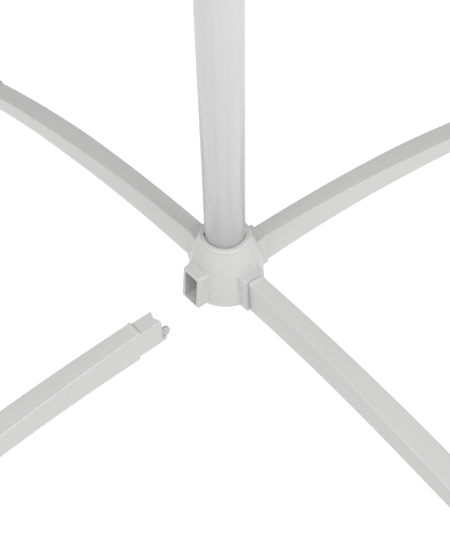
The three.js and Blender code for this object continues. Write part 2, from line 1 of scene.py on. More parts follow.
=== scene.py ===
# A free-standing rotary clothesline, seen close to its foot, with one leg pulled out of its socket.
# Lengths are metres. Shapes that are drawn in millimetres go through MM.
import json
import math

import bmesh
import bpy
from mathutils import Matrix, Vector


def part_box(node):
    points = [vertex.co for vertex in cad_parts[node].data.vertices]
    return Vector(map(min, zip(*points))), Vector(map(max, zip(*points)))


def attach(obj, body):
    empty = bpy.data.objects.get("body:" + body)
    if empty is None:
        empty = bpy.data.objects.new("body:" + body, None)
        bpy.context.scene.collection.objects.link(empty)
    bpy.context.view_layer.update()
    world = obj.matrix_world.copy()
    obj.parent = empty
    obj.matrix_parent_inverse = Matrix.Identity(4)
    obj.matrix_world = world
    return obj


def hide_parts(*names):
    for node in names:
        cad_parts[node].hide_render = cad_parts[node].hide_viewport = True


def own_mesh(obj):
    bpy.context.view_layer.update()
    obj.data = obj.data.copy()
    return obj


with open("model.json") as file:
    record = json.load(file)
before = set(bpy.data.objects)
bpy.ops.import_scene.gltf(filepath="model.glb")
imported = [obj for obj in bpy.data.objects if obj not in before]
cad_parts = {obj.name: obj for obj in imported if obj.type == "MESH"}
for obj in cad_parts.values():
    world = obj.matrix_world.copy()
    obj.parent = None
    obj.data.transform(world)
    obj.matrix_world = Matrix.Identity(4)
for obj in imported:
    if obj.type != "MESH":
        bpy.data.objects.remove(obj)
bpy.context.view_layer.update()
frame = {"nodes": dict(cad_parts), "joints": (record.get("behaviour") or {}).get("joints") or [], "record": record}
NODES = frame["nodes"]
JOINTS = {joint["name"]: joint for joint in frame["joints"]}
MM = 0.001
LEGS = ("front_right", "back_right", "back_left", "front_left")
ARMS = ("east", "north", "west", "south")

# ---- places, from the frame ----
HUB_LOW, HUB_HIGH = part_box("base_hub")
SOCKET_SLANT = 3.3 * MM  # the foot of a socket's face stands out by this much
SOCKET_FACE = HUB_HIGH.x - SOCKET_SLANT  # radius of the sockets' open faces, at their top
SOCKET_BELOW_AXIS = 18.0 * MM
HUB_Z = HUB_LOW.z + SOCKET_BELOW_AXIS  # height of the socket axes
HUB_LIP_TOP = HUB_HIGH.z - HUB_Z
MAST_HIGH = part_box("mast_lower")[1]
MAST_RADIUS = MAST_HIGH.x
UPPER_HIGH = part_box("mast_upper")[1]
UPPER_RADIUS = UPPER_HIGH.x
LEG_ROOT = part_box("leg_front_right")[0].x + 27 * MM  # the shoulder, where the plug begins
LEG_TIP = 500 * MM
BUTTON_BELOW_PIVOT = 16 * MM  # the ring's button, below the arms' pivots


def quarter_turn(index):
    return Matrix.Rotation(index * math.pi / 2, 4, "Z")


def pulled_leg_place():
    """The pulled leg's place, and its foot's, from its two joints run back from home."""
    pull = JOINTS["leg_front_left_pull"]
    tilt = JOINTS["leg_front_left_tilt"]
    out = Vector(pull["axis"]) * -pull["range_m"][0]
    rock = [c for c in frame["record"]["behaviour"]["couplings"] if c["joint"] == tilt["name"]][0]
    angle = rock["ratio"] * pull["range_m"][0]
    pivot = Vector(tilt["pos_m"])
    turn = Matrix.Rotation(-angle, 4, Vector(tilt["axis"]))
    home = Matrix.Translation((0, 0, HUB_Z)) @ quarter_turn(3)
    foot = Matrix.Translation(out) @ home
    return Matrix.Translation(pivot) @ turn @ Matrix.Translation(-pivot) @ foot, foot


def leg_place(index):
    if LEGS[index] == "front_left":
        return pulled_leg_place()
    seated = Matrix.Translation((0, 0, HUB_Z)) @ quarter_turn(index)
    return seated, seated


# ---- camera ----
CAMERA_PLACE = Vector((0.46604, -0.38007, HUB_Z + 0.70294))
CAMERA_HEADING = math.radians(140.91)  # of the view direction, from +X
CAMERA_PITCH = math.radians(-49.963)
CAMERA_ROLL = math.radians(-1.594)
CAMERA_LENS = 60.42


def make_camera():
    flat = Vector((math.cos(CAMERA_HEADING), math.sin(CAMERA_HEADING), 0))
    forward = flat * math.cos(CAMERA_PITCH) + Vector((0, 0, math.sin(CAMERA_PITCH)))
    level = forward.cross(Vector((0, 0, 1))).normalized()
    above = level.cross(forward)
    right = level * math.cos(CAMERA_ROLL) + above * math.sin(CAMERA_ROLL)
    up = above * math.cos(CAMERA_ROLL) - level * math.sin(CAMERA_ROLL)
    camera = bpy.data.objects.new("camera", bpy.data.cameras.new("camera"))
    camera.data.sensor_width = 36
    camera.data.lens = CAMERA_LENS
    camera.data.clip_start = 0.02
    facing = Matrix((right, up, -forward)).transposed().to_4x4()
    camera.matrix_world = Matrix.Translation(CAMERA_PLACE) @ facing
    bpy.context.scene.collection.objects.link(camera)
    bpy.context.scene.camera = camera


# ---- materials ----
class Nodes:
    """A material's node tree, with short calls for the nodes that the materials share."""

    def __init__(self, name):
        self.material = bpy.data.materials.new(name)
        self.material.use_nodes = True
        self.tree = self.material.node_tree
        self.shader = self.tree.nodes["Principled BSDF"]
        self.coords = self.tree.nodes.new("ShaderNodeTexCoord").outputs["Object"]

    def add(self, kind, **settings):
        node = self.tree.nodes.new(kind)
        for key, value in settings.items():
            setattr(node, key, value)
        return node

    def link(self, source, target):
        self.tree.links.new(source, target)

    def noise(self, scale, detail=2.0, stretch=(1, 1, 1)):
        mapping = self.add("ShaderNodeMapping")
        mapping.inputs["Scale"].default_value = stretch
        self.link(self.coords, mapping.inputs["Vector"])
        noise = self.add("ShaderNodeTexNoise")
        noise.inputs["Scale"].default_value = scale
        noise.inputs["Detail"].default_value = detail
        self.link(mapping.outputs[0], noise.inputs["Vector"])
        return noise.outputs["Fac"]

    def spread(self, value, low, high, start=0.3, end=0.7):
        ramp = self.add("ShaderNodeMapRange")
        ramp.inputs["From Min"].default_value = start
        ramp.inputs["From Max"].default_value = end
        ramp.inputs["To Min"].default_value = low
        ramp.inputs["To Max"].default_value = high
        self.link(value, ramp.inputs["Value"])
        return ramp.outputs["Result"]

    def mix(self, amount, first, second):
        mix = self.add("ShaderNodeMix", data_type="RGBA")
        mix.inputs["A"].default_value = (*first, 1)
        mix.inputs["B"].default_value = (*second, 1)
        self.link(amount, mix.inputs["Factor"])
        return mix.outputs["Result"]

    def colour(self, amount, first, second):
        self.link(self.mix(amount, first, second), self.shader.inputs["Base Color"])

    def roughness(self, value, low, high):
        self.link(self.spread(value, low, high), self.shader.inputs["Roughness"])

    def bump(self, *layers):
        """Each layer is (height, strength, distance)."""
        normal = None
        for height, strength, distance in layers:
            bump = self.add("ShaderNodeBump")
            bump.inputs["Strength"].default_value = strength
            bump.inputs["Distance"].default_value = distance
            self.link(height, bump.inputs["Height"])
            if normal:
                self.link(normal, bump.inputs["Normal"])
            normal = bump.outputs["Normal"]
        self.link(normal, self.shader.inputs["Normal"])


def tinted(grey, warmth=0.0):
    return (grey * (1 + warmth), grey, grey * (1 - warmth))


def moulded_plastic(name, grey, roughness, grain, warmth=0.004):
    """Glossy moulded plastic: faint cloudiness, flow marks and a fine skin grain."""
    made = Nodes(name)
    cloud = made.spread(made.noise(9, 2), 0, 1)
    made.colour(cloud, tinted(grey * 0.985, warmth), tinted(grey * 1.01, warmth))
    made.roughness(made.noise(60, 4), roughness * 0.9, roughness * 1.12)
    made.bump(
        (made.noise(11, 1), 0.05, 0.0006),
        (made.noise(900, 3), grain, 0.00008),
    )
    made.shader.inputs["IOR"].default_value = 1.49
    return made.material


def lacquered_tube(name, grey, roughness):
    """White lacquer over drawn steel tube: painted reflection streaks along the tube in its colour, fine ridges
    along it in the bump and a little orange peel.
    """
    made = Nodes(name)
    # painted reflection: light and dark streaks along the tube, put into its colour in place of the surroundings
    # reflected in the lacquer
    painted_reflection_streaks = made.spread(made.noise(110, 3, (1, 1, 0.012)), 0, 1)
    made.colour(painted_reflection_streaks, tinted(grey * 0.965), tinted(grey * 1.02))
    made.roughness(made.noise(160, 3, (1, 1, 0.02)), roughness * 0.8, roughness * 1.3)
    made.bump(
        (made.noise(75, 2, (1, 1, 0.01)), 0.06, 0.0003),
        (made.noise(420, 2), 0.05, 0.0001),
    )
    made.shader.inputs["IOR"].default_value = 1.5
    made.shader.inputs["Coat Weight"].default_value = 0.25
    made.shader.inputs["Coat Roughness"].default_value = 0.12
    return made.material


def rubber(name, grey):
    """Dull rubber with a dusty bloom and a fine rough skin."""
    made = Nodes(name)
    dust = made.spread(made.noise(90, 5), 0, 1, 0.4, 0.75)
    made.colour(dust, tinted(grey, -0.02), tinted(grey * 1.35, 0.01))
    made.roughness(made.noise(300, 3), 0.62, 0.85)
    made.bump((made.noise(700, 4), 0.35, 0.0002))
    return made.material


def zinc(name):
    """Zinc-plated steel with a faint spangle."""
    made = Nodes(name)
    spangle = made.spread(made.noise(240, 4), 0, 1)
    made.colour(spangle, (0.50, 0.51, 0.52), (0.66, 0.67, 0.68))
    made.roughness(made.noise(900, 2), 0.26, 0.42)
    made.bump((made.noise(1400, 2), 0.12, 0.0001))
    made.shader.inputs["Metallic"].default_value = 1.0
    return made.material


def vinyl_line(name, grey):
    """Plastic-coated line: the cord's lay shows faintly through the coat."""
    made = Nodes(name)
    wear = made.spread(made.noise(45, 2), 0, 1)
    made.colour(wear, tinted(grey * 0.94, -0.01), tinted(grey, -0.01))
    made.roughness(made.noise(500, 2), 0.3, 0.5)
    wave = made.add("ShaderNodeTexWave", wave_type="BANDS", bands_direction="DIAGONAL")
    wave.inputs["Scale"].default_value = 110
    made.link(made.coords, wave.inputs["Vector"])
    made.bump((wave.outputs["Fac"], 0.25, 0.0002))
    return made.material


FINISHES = {
    "white_plastic": moulded_plastic("white_plastic", 0.495, 0.24, 0.08),
    "grey_plastic": moulded_plastic("grey_plastic", 0.42, 0.42, 0.2),
    "white_lacquer": lacquered_tube("white_lacquer", 0.535, 0.28),
    "foot_rubber": rubber("foot_rubber", 0.13),
    "zinc_steel": zinc("zinc_steel"),
    "line_vinyl": vinyl_line("line_vinyl", 0.36),
}


# ---- mesh making ----
def new_object(name, verts, faces):
    mesh = bpy.data.meshes.new(name)
    mesh.from_pydata([tuple(v) for v in verts], [], faces)
    made = bpy.data.objects.new(name, mesh)
    bpy.context.scene.collection.objects.link(made)
    return made


def fix_normals(made):
    work = bmesh.new()
    work.from_mesh(made.data)
    bmesh.ops.remove_doubles(work, verts=work.verts, dist=1e-7)
    bmesh.ops.recalc_face_normals(work, faces=work.faces)
    work.to_mesh(made.data)
    work.free()
    return made


def loft(name, rings, closed=True):
    """A skin over rings of equal point count, with flat ends."""
    count = len(rings[0])
    verts = [point for ring in rings for point in ring]
    faces = []
    for r in range(len(rings) - 1):
        for i in range(count):
            a, b = r * count + i, r * count + (i + 1) % count
            faces.append((a, b, b + count, a + count))
    if closed:
        faces.append(tuple(range(count))[::-1])
        faces.append(tuple(range((len(rings) - 1) * count, len(rings) * count)))
    return fix_normals(new_object(name, verts, faces))


def lathe(name, profile, segments=128):
    """A surface of revolution about Z from (radius, height) points, a ring if none is on the axis."""
    on_axis = profile[0][0] < 1e-9
    rings = []
    for radius, height in profile:
        radius = max(radius, 1e-9)
        angles = [2 * math.pi * i / segments for i in range(segments)]
        rings.append([(radius * math.cos(a), radius * math.sin(a), height) for a in angles])
    if not on_axis:
        rings.append(rings[0])
    return loft(name, rings, closed=False)


def rod(name, radius, low, high, segments):
    return lathe(name, [(0, low), (radius, low), (radius, high), (0, high)], segments)


def arc_points(centre, radius, start, end, steps):
    """Points round a circle, from one angle to another in degrees."""
    angles = [math.radians(start + (end - start) * i / steps) for i in range(steps + 1)]
    return [(centre[0] + radius * math.cos(a), centre[1] + radius * math.sin(a)) for a in angles]


def cuboid(low, high):
    x, y, z = zip(low, high)
    corners = [(x[i & 1], y[i >> 1 & 1], z[i >> 2]) for i in range(8)]
    faces = [(0, 2, 3, 1), (4, 5, 7, 6), (0, 1, 5, 4), (2, 6, 7, 3), (0, 4, 6, 2), (1, 3, 7, 5)]
    return new_object("cuboid", corners, faces)


def rounded(width, low, high, radius, steps=8):
    """Points (y, z) round a rectangle with round corners."""
    corners = (
        (width / 2 - radius, high - radius, 0),
        (-width / 2 + radius, high - radius, 1),
        (-width / 2 + radius, low + radius, 2),
        (width / 2 - radius, low + radius, 3),
    )
    points = []
    for y, z, quarter in corners:
        for i in range(steps + 1):
            angle = (quarter + i / steps) * math.pi / 2
            points.append((y + radius * math.cos(angle), z + radius * math.sin(angle)))
    return points


def baked(made):
    """The object with its modifiers applied."""
    bpy.context.view_layer.update()
    graph = bpy.context.evaluated_depsgraph_get()
    mesh = bpy.data.meshes.new_from_object(made.evaluated_get(graph))
    old = made.data
    made.modifiers.clear()
    made.data = mesh
    bpy.data.meshes.remove(old)
    return made


def discard(made):
    mesh = made.data
    bpy.data.objects.remove(made)
    bpy.data.meshes.remove(mesh)


def combine(made, others, operation="UNION"):
    """Joins the others to the object, or cuts it by them, and uses them up."""
    for other in others:
        cut = made.modifiers.new("cut", "BOOLEAN")
        cut.object = other
        cut.operation = operation
        cut.solver = "EXACT"
        baked(made)
        discard(other)
    return made


def moulded(made, voxel, rounds):
    """Rounds every edge and fillets every inner corner, as a moulding has them."""
    remesh = made.modifiers.new("remesh", "REMESH")
    remesh.mode = "VOXEL"
    remesh.voxel_size = voxel
    smooth = made.modifiers.new("smooth", "SMOOTH")
    smooth.factor = 0.5
    smooth.iterations = rounds
    return baked(made)


def shade(made, angle=None):
    """Smooth shading, with edges sharper than the angle kept crisp."""
    mesh = made.data
    mesh.polygons.foreach_set("use_smooth", [True] * len(mesh.polygons))
    if angle is not None:
        mesh.set_sharp_from_angle(angle=math.radians(angle))
    mesh.update()
    return made


def soften(made, width, segments=3, angle=35):
    bevel = made.modifiers.new("soften", "BEVEL")
    bevel.width = width
    bevel.segments = segments
    bevel.limit_method = "ANGLE"
    bevel.angle_limit = math.radians(angle)
    bevel.harden_normals = False
    return made


def finish_piece(made, name, body, finish, *nodes):
    """Names the piece, gives it its material and ties it to its body and to the nodes it replaces."""
    made.name = name
    made.data.name = name
    made.data.materials.clear()
    made.data.materials.append(FINISHES[finish])
    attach(made, body)
    if nodes:
        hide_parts(*nodes)
    return made


def copy_of(made, place):
    other = bpy.data.objects.new(made.name, made.data.copy())
    bpy.context.scene.collection.objects.link(other)
    other.data.transform(place)
    return other


# ---- the hub ----
# (height from the socket axes, outer radius) of the bell, in millimetres
BELL = ((-18, 38.5), (0, 38.1), (8, 36.9), (16, 35.4), (25, 33.2), (33, 30.6), (41, 27.6), (45, 25.7))
BELL_FOOT_ROUND = 1.5  # millimetres, as the next five
BELL_LIP_ROUND = 2.5
BELL_LIP_RADIUS = 22.9  # to the middle of the lip's rounding
CUP_FLOOR = 23
CUP_RADIUS = 20.2
CUP_MOUTH_RADIUS = 19.77  # close round the mast
RELIEF_TURN = math.radians(-129)  # where the cup stands a little clear of the mast
RELIEF_RADIUS = 6 * MM
RELIEF_FROM_AXIS = 14.7 * MM
SPINDLE_HOLE_RADIUS = 8.5 * MM
SOCKET_TOP = 22.2 * MM
SOCKET_WIDTH = (23.4 * MM, 25.8 * MM)  # of the face, at its top and at its foot
SOCKET_ROOT_WIDTH = (29.5 * MM, 27.0 * MM)  # inside the bell, the same way
SOCKET_ROOT = 20 * MM
HOLLOW_WIDTH = 17.6 * MM
HOLLOW_BOTTOM = -15.6 * MM
HOLLOW_TOP = 18.4 * MM
HOLLOW_END = 28 * MM  # where the mouth's lead-in starts
MOUTH_LEAD_IN = 1.4 * MM


def bell_radius(z):
    """The bell's outer radius at a height from the socket axes, in millimetres."""
    for (z0, r0), (z1, r1) in zip(BELL, BELL[1:]):
        if z <= z1:
            return r0 + (r1 - r0) * (z - z0) / (z1 - z0)
    return BELL[-1][1]


def socket_ring(x, widths, slant):
    """A socket's outer section, wider at its foot, which also stands out by the slant."""
    ring = []
    for y, z in rounded(widths[0], -SOCKET_BELOW_AXIS, SOCKET_TOP, 2.2 * MM):
        share = (SOCKET_TOP - z) / (SOCKET_TOP + SOCKET_BELOW_AXIS)
        width = widths[0] + (widths[1] - widths[0]) * share
        ring.append((x + slant * share, y * width / widths[0], z))
    return ring


def hollow_ring(x, drop):
    section = rounded(HOLLOW_WIDTH, HOLLOW_BOTTOM - drop, HOLLOW_TOP, 0.8 * MM, 3)
    return [(x, y, z) for y, z in section]


def make_hub():
    """The bell with its four sockets, rounded as one moulding, then hollowed out crisply."""
    top = HUB_LIP_TOP / MM
    foot, widest = BELL[0]
    turn = BELL_FOOT_ROUND
    outer = [(0, foot)] + arc_points((widest - turn, foot + turn), turn, -90, 0, 4)
    outer += [(bell_radius(z), z) for z in range(-14, 45, 2)]
    turn = BELL_LIP_ROUND
    outer += arc_points((BELL_LIP_RADIUS, top - turn), turn, -10, 90, 8) + [(0, top)]
    bell = lathe("hub", [(r * MM, z * MM) for r, z in outer], 160)
    mouth = SOCKET_FACE + SOCKET_SLANT
    sockets, hollows = [], []
    for index in range(4):
        outside = [
            socket_ring(SOCKET_ROOT, SOCKET_ROOT_WIDTH, 0),
            socket_ring(SOCKET_FACE, SOCKET_WIDTH, SOCKET_SLANT),
        ]
        inside = [
            hollow_ring(-2 * MM, 0),
            hollow_ring(HOLLOW_END, 0),
            hollow_ring(mouth + 1 * MM, MOUTH_LEAD_IN),
        ]
        for rings, group in ((outside, sockets), (inside, hollows)):
            group.append(loft("socket", rings))
            group[-1].data.transform(quarter_turn(index))
    combine(bell, sockets)
    moulded(bell, 0.5 * MM, 3)
    cup = [(0, CUP_FLOOR), (CUP_RADIUS, CUP_FLOOR), (CUP_RADIUS, top - 6)]
    cup += [(CUP_MOUTH_RADIUS, top - 5), (CUP_MOUTH_RADIUS, top - 0.25)]
    cup += [(19.9, top - 0.05), (20.1, top), (20.1, top + 1), (0, top + 1)]
    hollows.append(lathe("cup", [(r * MM, z * MM) for r, z in cup], 160))
    hollows.append(rod("spindle_hole", SPINDLE_HOLE_RADIUS, -0.03, 0.03, 64))
    relief = rod("relief", RELIEF_RADIUS, 0.028, 0.06, 48)
    aside = Matrix.Translation((RELIEF_FROM_AXIS, 0, 0))
    relief.data.transform(Matrix.Rotation(RELIEF_TURN, 4, "Z") @ aside)
    hollows.append(relief)
    combine(bell, hollows, "DIFFERENCE")
    bell.data.transform(Matrix.Translation((0, 0, HUB_Z)))
    return finish_piece(shade(bell, 40), "hub_moulding", "base_hub", "white_plastic", "base_hub")


# ---- the legs ----
LEG_CURVE = 0.685  # 1/m
LEG_CROWN = 40.7 * MM  # the arch's highest place, from the mast's axis
LEG_SAG = 0.2 * MM  # the beam's middle line, below the socket axis at the crown
LEG_FLARE = 270 * MM  # the leg is at its full width from here on
LEG_WIDTH = (17.6 * MM, 24.6 * MM)  # at the shoulder and at the full width
LEG_HEIGHT = (38.4 * MM, 21 * MM)  # at the shoulder and at the tip
LEG_CORNER = 1.3 * MM
SMALLEST_CORNER = 0.6 * MM
SLANT_LENGTH = 25 * MM  # over which the shoulder's slant fades
SHOULDER_GAP = 0.03 * MM
PLUG_LENGTH = 25 * MM
PLUG_END = LEG_ROOT - PLUG_LENGTH
PLUG_WIDTH = 16.8 * MM
PLUG_TAPER = 0.4 * MM  # its end is narrower by this
PLUG_ASIDE = 0.2 * MM
PLUG_TOP = 17.4 * MM
PLUG_BOTTOM = -15.25 * MM
PLUG_HOLLOW = (-5.9 * MM, 6.9 * MM)  # from side to side
TAB_REACH = 5.5 * MM  # beyond the plug's end
SCOOP_RADIUS = 13.4 * MM
# (distance from the shoulder, height) of the lip, in millimetres
LIP = ((0.1, 1.2), (0.35, 1.7), (0.9, 1.9), (1.8, 1.6), (3.0, 0.8), (4.2, 0.2), (5.4, -0.4))
LATCH_TIP = LEG_ROOT - 35.5 * MM
LATCH_ROOT = LEG_ROOT + 12 * MM
LATCH_HALF_HEIGHT = 5.6 * MM
LATCH_ROUND = 5.2 * MM  # length of its round end
LATCH_DROP = 3.3 * MM  # its middle, below the socket axis
LATCH_DIP = 1.9 * MM  # the tip stands lower by this
LATCH_DIP_LENGTH = 5.4 * MM
LATCH_BULGE = 1.9 * MM
LATCH_BULGE_AT = 4.6 * MM  # from the tip
LATCH_BULGE_SPREAD = 3.6 * MM
LATCH_SIDE = 4.3 * MM  # its near face, from the leg's middle plane
LATCH_NOSE = 1.1 * MM  # the near face curves away by this at the tip
LATCH_NOSE_LENGTH = 3 * MM
LATCH_THICKNESS = 2 * MM
LATCH_THINNEST = 0.9 * MM
PAD_START = 472 * MM
PAD_LENGTH = 35 * MM
PAD_WALL = 3.9 * MM
# (height over the floor, outset of the edge) of the sole
SOLE = ((0.0, 0), (0.0018, 0), (0.003, -0.0006), (0.0065, -0.0006), (0.0095, 0))


def leg_ring(x, inset=0.0, corner=LEG_CORNER):
    """The leg's section at a distance from the axis, square to its arch."""
    spread = min(1, max(0, (x - LEG_ROOT) / (LEG_FLARE - LEG_ROOT)))
    width = LEG_WIDTH[0] + (LEG_WIDTH[1] - LEG_WIDTH[0]) * spread - 2 * inset
    along = max(0, (x - LEG_ROOT) / (LEG_TIP - LEG_ROOT))
    height = LEG_HEIGHT[0] + (LEG_HEIGHT[1] - LEG_HEIGHT[0]) * (1 - (1 - along) ** 2) - 2 * inset
    middle = -0.5 * LEG_CURVE * (x - LEG_CROWN) ** 2 - LEG_SAG
    tilt = math.atan(-LEG_CURVE * (x - LEG_CROWN))
    slant = SOCKET_SLANT * max(0, 1 - (x - LEG_ROOT) / SLANT_LENGTH)
    ring = []
    for y, z in rounded(width, -height / 2, height / 2, max(corner - inset, SMALLEST_CORNER)):
        out = x - z * math.sin(tilt) + slant * (0.5 - z / height)
        ring.append((out, y, middle + z * math.cos(tilt)))
    return ring


def make_leg_beam():
    """The arched leg, its edges rolled in a little at the shoulder and at the foot."""
    rolled = 0.2 * MM
    turns = [step / 4 * math.pi / 2 for step in range(5)]
    start = LEG_ROOT + SHOULDER_GAP
    rings = [leg_ring(start + rolled * (1 - math.cos(a)), rolled * (1 - math.sin(a))) for a in turns]
    start += rolled
    steps = 96
    rings += [leg_ring(start + (LEG_TIP - 1 * MM - start) * i / steps) for i in range(1, steps + 1)]
    rings.append(leg_ring(LEG_TIP, 1 * MM))
    return loft("leg_beam", rings)


def make_plug():
    """The plug that goes into the socket: hollow, with a lower tab and a scooped, notched top wall."""

    def ring(x, share):
        section = rounded(PLUG_WIDTH - PLUG_TAPER * share, PLUG_BOTTOM, PLUG_TOP, 1.1 * MM, 6)
        return [(x, y + PLUG_ASIDE, z) for y, z in section]

    body = loft("plug", [ring(LEG_ROOT + 5 * MM, 0), ring(LEG_ROOT, 0), ring(PLUG_END, 1)])
    tab_end = PLUG_END - TAB_REACH
    tab = cuboid((tab_end, -7.4 * MM, -15.1 * MM), (PLUG_END + 3 * MM, 8.2 * MM, -9.6 * MM))
    combine(body, [tab])
    near, far = PLUG_HOLLOW
    pocket = cuboid((PLUG_END - 6 * MM, near, -9.2 * MM), (LEG_ROOT + 3 * MM, far, 11 * MM))
    upper = cuboid((PLUG_END - 1 * MM, near, 10 * MM), (PLUG_END + 17 * MM, far, 15.4 * MM))
    scoop = rod("scoop", SCOOP_RADIUS, 0.0095, 0.03, 96)
    scoop.data.transform(Matrix.Translation((PLUG_END - 10.8 * MM, 0, 0)))
    notch = cuboid((PLUG_END - 1 * MM, -1.2 * MM, 10 * MM), (PLUG_END + 4.6 * MM, 0.9 * MM, 19 * MM))
    combine(body, [pocket, upper, scoop, notch], "DIFFERENCE")
    return moulded(body, 0.36 * MM, 3)


def make_lip():
    """The low lip over the shoulder's top, higher at one side."""
    rings = []
    for shift, rise in LIP:
        ring = []
        for y, z in rounded(LEG_WIDTH[0] - 0.3 * MM, -2 * MM, LEG_HEIGHT[0] / 2, 1.6 * MM, 6):
            high = max(0, min(1, (z - 10 * MM) / (8 * MM)))
            share = max(0.4, min(1, 0.7 - y / (18 * MM)))
            slant = SOCKET_SLANT * (0.5 - z / LEG_HEIGHT[0])
            ring.append((LEG_ROOT + shift * MM + slant, y, z - LEG_SAG + rise * MM * high * share))
        rings.append(ring)
    return loft("lip", rings)


def make_latch():
    """The springy tongue: a thin upright strip with a round, bulging end."""
    rings = []
    stations = 44
    for i in range(stations + 1):
        x = LATCH_TIP + (LATCH_ROOT - LATCH_TIP) * (i / stations) ** 1.6
        gone = x - LATCH_TIP
        half = LATCH_HALF_HEIGHT * math.sqrt(max(0.01, 1 - max(0, 1 - gone / LATCH_ROUND) ** 2))
        drop = LATCH_DROP + LATCH_DIP * max(0, 1 - gone / LATCH_DIP_LENGTH)
        bulge = LATCH_BULGE * math.exp(-(((gone - LATCH_BULGE_AT) / LATCH_BULGE_SPREAD) ** 2))
        near = LATCH_SIDE + LATCH_NOSE * max(0, 1 - gone / LATCH_NOSE_LENGTH) ** 2
        thick = LATCH_THICKNESS * min(1, math.sqrt(gone / (2 * MM) + 0.1))
        far = near + max(LATCH_THINNEST, thick) + bulge
        rings.append([(x, y, z - drop) for y, z in section_between(near, far, half)])
    return loft("latch", rings)


def section_between(near, far, half):
    """A strip's section, between two places across the leg."""
    middle = (near + far) / 2
    radius = min(0.7 * MM, half * 0.9, (far - near) * 0.45)
    return [(y + middle, z) for y, z in rounded(far - near, -half, half, radius, 4)]


def make_pad():
    """The rubber foot: a sleeve round the leg's tip on a ribbed sole."""
    floor = -HUB_Z
    stations = [i / 6 for i in range(7)]
    sleeve_rings = [leg_ring(PAD_START + PAD_LENGTH * t, -PAD_WALL, 0.0065) for t in stations]
    sleeve = loft("pad", sleeve_rings)
    soles = []
    for height, grow in SOLE:
        outline = rounded(0.027 + 2 * grow, 0.476 - grow, 0.506 + grow, 0.005, 5)
        soles.append([(x, y, floor + height) for y, x in outline])
    combine(sleeve, [loft("sole", soles)])
    inside = loft("inside", [leg_ring(0.466 + 0.0348 * t, -0.0007) for t in stations])
    below = cuboid((0.4, -0.05, floor - 0.03), (0.6, 0.05, floor))
    grooves = []
    for i in range(4):
        start = 0.480 + 0.0065 * i
        groove = cuboid((start, -0.02, floor - 0.002), (start + 2 * MM, 0.02, floor + 1.2 * MM))
        grooves.append(groove)
    combine(sleeve, [inside, below, *grooves], "DIFFERENCE")
    return moulded(sleeve, 0.5 * MM, 2)


def leg_body(kind, leg):
    if kind == "latch":
        return f"latch_{leg}"
    if kind == "foot" and leg == "front_left":
        return "foot_front_left"
    return f"leg_{leg}"


def make_legs():
    finishes = {"leg": "white_plastic", "latch": "grey_plastic", "foot": "foot_rubber"}
    shapes = [
        (make_leg_beam(), "leg", "leg_beam_{}", ["leg_{}"], 50),
        (make_plug(), "leg", "leg_plug_{}", [], None),
        (make_lip(), "leg", "leg_lip_{}", [], None),
        (make_latch(), "latch", "leg_latch_hook_{}", ["leg_latch_{}"], None),
        (make_pad(), "foot", "foot_pad_moulding_{}", ["foot_pad_{}"], None),
    ]
    for index, leg in enumerate(LEGS):
        leg_at, foot_at = leg_place(index)
        for shape, kind, name, nodes, angle in shapes:
            piece = shade(copy_of(shape, foot_at if kind == "foot" else leg_at), angle)
            replaced = [node.format(leg) for node in nodes]
            finish_piece(piece, name.format(leg), leg_body(kind, leg), finishes[kind], *replaced)
    for entry in shapes:
        discard(entry[0])


# ---- the mast ----
TUBE_WALL = 1.2 * MM
TUBE_EDGE = 0.3 * MM
CLEAR = 0.3 * MM  # between pieces that meet


def make_tube(name, node, segments=160):
    low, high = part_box(node)
    radius = high.x
    bore = radius - TUBE_WALL
    profile = [
        (bore, low.z + TUBE_EDGE),
        (bore + TUBE_EDGE, low.z),
        (radius - TUBE_EDGE, low.z),
        (radius, low.z + TUBE_EDGE),
        (radius, high.z - TUBE_EDGE),
        (radius - TUBE_EDGE, high.z),
        (bore + TUBE_EDGE, high.z),
        (bore, high.z - TUBE_EDGE),
    ]
    return finish_piece(shade(lathe(name, profile, segments), 50), name, "mast", "white_lacquer", node)


def make_collar_moulding():
    low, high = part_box("mast_collar")
    radius = high.x
    step = MAST_HIGH.z
    neck = UPPER_RADIUS + 3.6 * MM
    outer = [(MAST_RADIUS + CLEAR, low.z), (radius - 0.8 * MM, low.z), (radius, low.z + 1.2 * MM)]
    for rib in range(3):
        z = low.z + (6 + 6 * rib) * MM
        groove = radius - 0.7 * MM
        outer += [(radius, z), (groove, z + 0.8 * MM), (groove, z + 2 * MM), (radius, z + 2.8 * MM)]
    outer += [(radius, step + 11 * MM)]
    for i in range(9):
        share = i / 8
        ease = share * share * (3 - 2 * share)
        outer.append((radius + (neck - radius) * ease, step + (12 + 19 * share) * MM))
    outer += arc_points((neck - 1 * MM, high.z - 1 * MM), 1 * MM, 0, 90, 5)
    bore = UPPER_RADIUS + CLEAR
    outer += [(bore, high.z), (bore, step + CLEAR), (MAST_RADIUS + CLEAR, step + CLEAR)]
    collar = shade(lathe("collar", outer, 128), 40)
    return finish_piece(collar, "mast_collar_moulding", "mast", "grey_plastic", "mast_collar")


# ---- the head ----
HEAD_RADIUS = 24 * MM  # of the ring and of the cap's lower part
EAR_RADIUS = 9 * MM
EAR_ROOT = 17 * MM
PIN_HOLE_RADIUS = 3.3 * MM
RING_EAR_SIDES = (7.3 * MM, 10.3 * MM)  # near and far face, from the arm's middle plane
CAP_EAR_SIDES = (1.5 * MM, 7 * MM)
CAP_BRIM_RADIUS = 28 * MM
CAP_FLAT_RADIUS = 15 * MM
CAP_DOME_HEIGHT = 17 * MM
BUTTON_HOLE_RADIUS = 4.4 * MM
# (radius, distance from the mast's axis) of the ring's button, in millimetres
BUTTON_STEM = ((0, 16.8), (3.6, 16.8), (4, 17.4), (4, 27))
BUTTON_KNOB = ((7.4, 27), (8.2, 27.6), (8.9, 29), (8.9, 29.8), (8.3, 31.6), (7.6, 33), (5, 33.9), (0, 34))
BUTTON_GROOVES = 12


